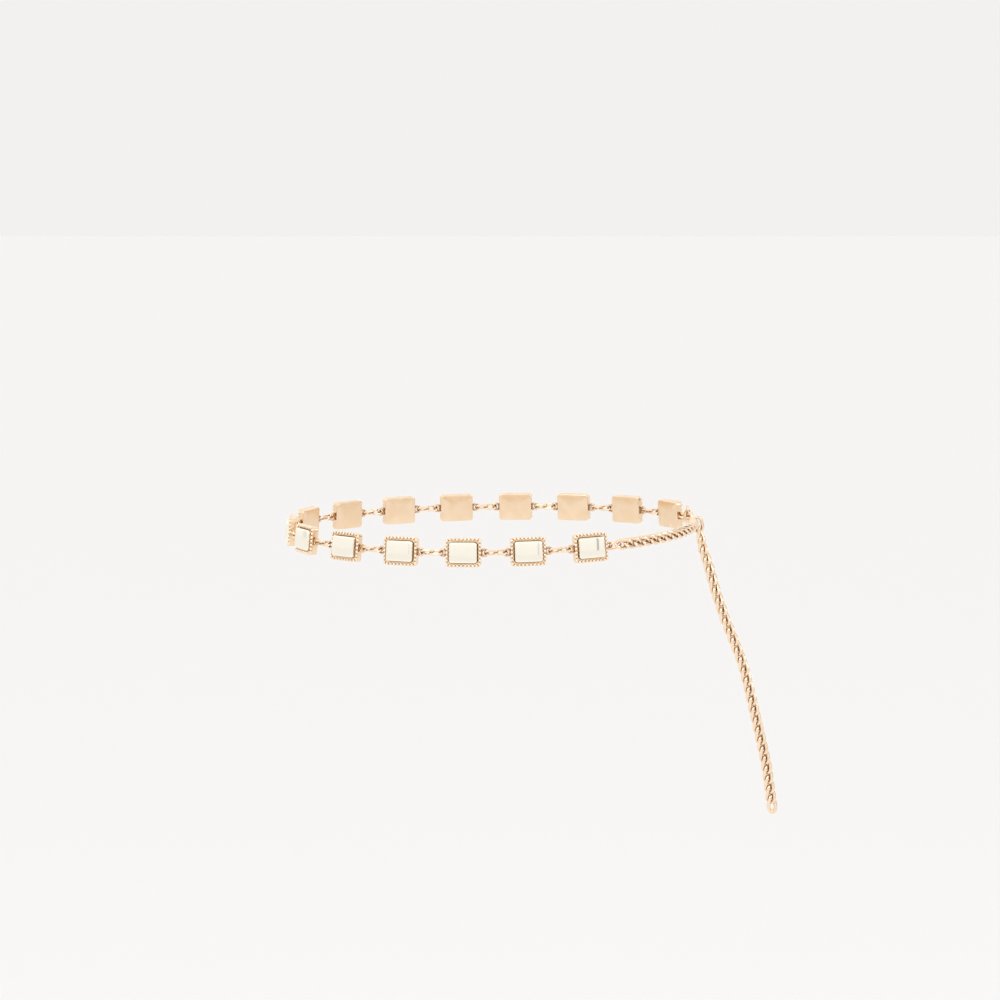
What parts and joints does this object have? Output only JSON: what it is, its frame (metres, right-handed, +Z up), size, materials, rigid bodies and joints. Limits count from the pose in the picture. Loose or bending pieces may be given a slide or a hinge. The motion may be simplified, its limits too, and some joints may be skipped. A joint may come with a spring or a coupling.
{
  "type": "waist chain",
  "caption": "Waist chain of bead-edged framed plates with domed polished insets, joined by oval links, closed by a lobster clasp on a curb chain whose free end hangs down.",
  "frame": {"origin": "centre of the waist opening, at the mean height of the loop", "axes": "+Z up, +X towards the side with the clasp and the hanging end, -Y towards the viewer of the picture (the wearer's front)"},
  "size_m": [0.308, 0.202, 0.1959],
  "materials": {
    "frame_gold": "warm gold plating, antiqued in the hollows",
    "polished_inset": "mirror polished pale gold plating",
    "chain_gold": "polished warm gold plating",
    "clasp_gold": "polished warm gold plating"
  },
  "bodies": {
    "belt": {"frame_01": "frame_gold", "frame_02": "frame_gold", "frame_03": "frame_gold", "frame_04": "frame_gold", "frame_05": "frame_gold", "frame_06": "frame_gold", "frame_07": "frame_gold", "frame_08": "frame_gold", "frame_09": "frame_gold", "frame_10": "frame_gold", "frame_11": "frame_gold", "frame_12": "frame_gold", "frame_13": "frame_gold", "frame_14": "frame_gold", "frame_15": "frame_gold", "inset_01": "polished_inset", "inset_02": "polished_inset", "inset_03": "polished_inset", "inset_04": "polished_inset", "inset_05": "polished_inset", "inset_06": "polished_inset", "inset_07": "polished_inset", "inset_08": "polished_inset", "inset_09": "polished_inset", "inset_10": "polished_inset", "inset_11": "polished_inset", "inset_12": "polished_inset", "inset_13": "polished_inset", "inset_14": "polished_inset", "inset_15": "polished_inset", "connector_01": "chain_gold", "connector_02": "chain_gold", "connector_03": "chain_gold", "connector_04": "chain_gold", "connector_05": "chain_gold", "connector_06": "chain_gold", "connector_07": "chain_gold", "connector_08": "chain_gold", "connector_09": "chain_gold", "connector_10": "chain_gold", "connector_11": "chain_gold", "connector_12": "chain_gold", "connector_13": "chain_gold", "connector_14": "chain_gold", "jump_ring": "chain_gold", "front_chain": "chain_gold", "tail_chain": "chain_gold", "clasp_link": "chain_gold", "clasp_body": "clasp_gold"},
    "lever": {"clasp_lever": "clasp_gold"}
  },
  "joints": [
    {"name": "lever_pivot", "type": "hinge", "parent": "belt", "child": "lever", "pos_m": [0.12144, 0.01758, 0.00806], "axis": [0.9758, 0.2186, 0], "range_deg": [0, 14], "stiffness_Nm_per_rad": 0.01, "springref_deg": -17.19}
  ]
}
